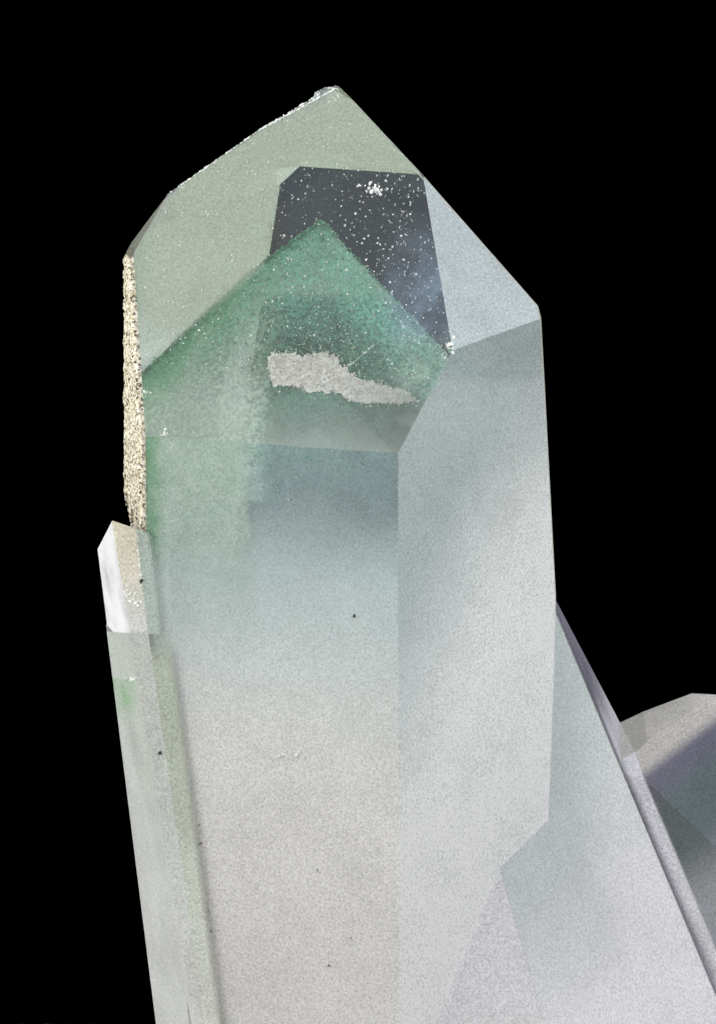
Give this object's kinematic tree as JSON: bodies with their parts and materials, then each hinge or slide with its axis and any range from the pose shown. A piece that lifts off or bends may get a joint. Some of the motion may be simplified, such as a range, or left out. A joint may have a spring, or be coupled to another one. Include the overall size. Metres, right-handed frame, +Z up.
{
  "type": "fuchsite in quartz",
  "caption": "Cluster of clear and milky quartz crystals cut flat underneath, the tallest holding a green fuchsite phantom below its point.",
  "frame": {"origin": "on the flat cut underneath, below the middle of the tall crystal", "axes": "+Z up along the tall crystal, -Y towards the viewer of the picture, +X to the right"},
  "size_m": [0.0327, 0.0237, 0.051],
  "materials": {
    "milky_quartz": "satin",
    "clear_quartz": "gloss",
    "fuchsite": "satin"
  },
  "bodies": {
    "root": {"quartz_crystals": "milky_quartz", "quartz_tip": "clear_quartz", "fuchsite_phantom": "fuchsite"}
  },
  "joints": []
}
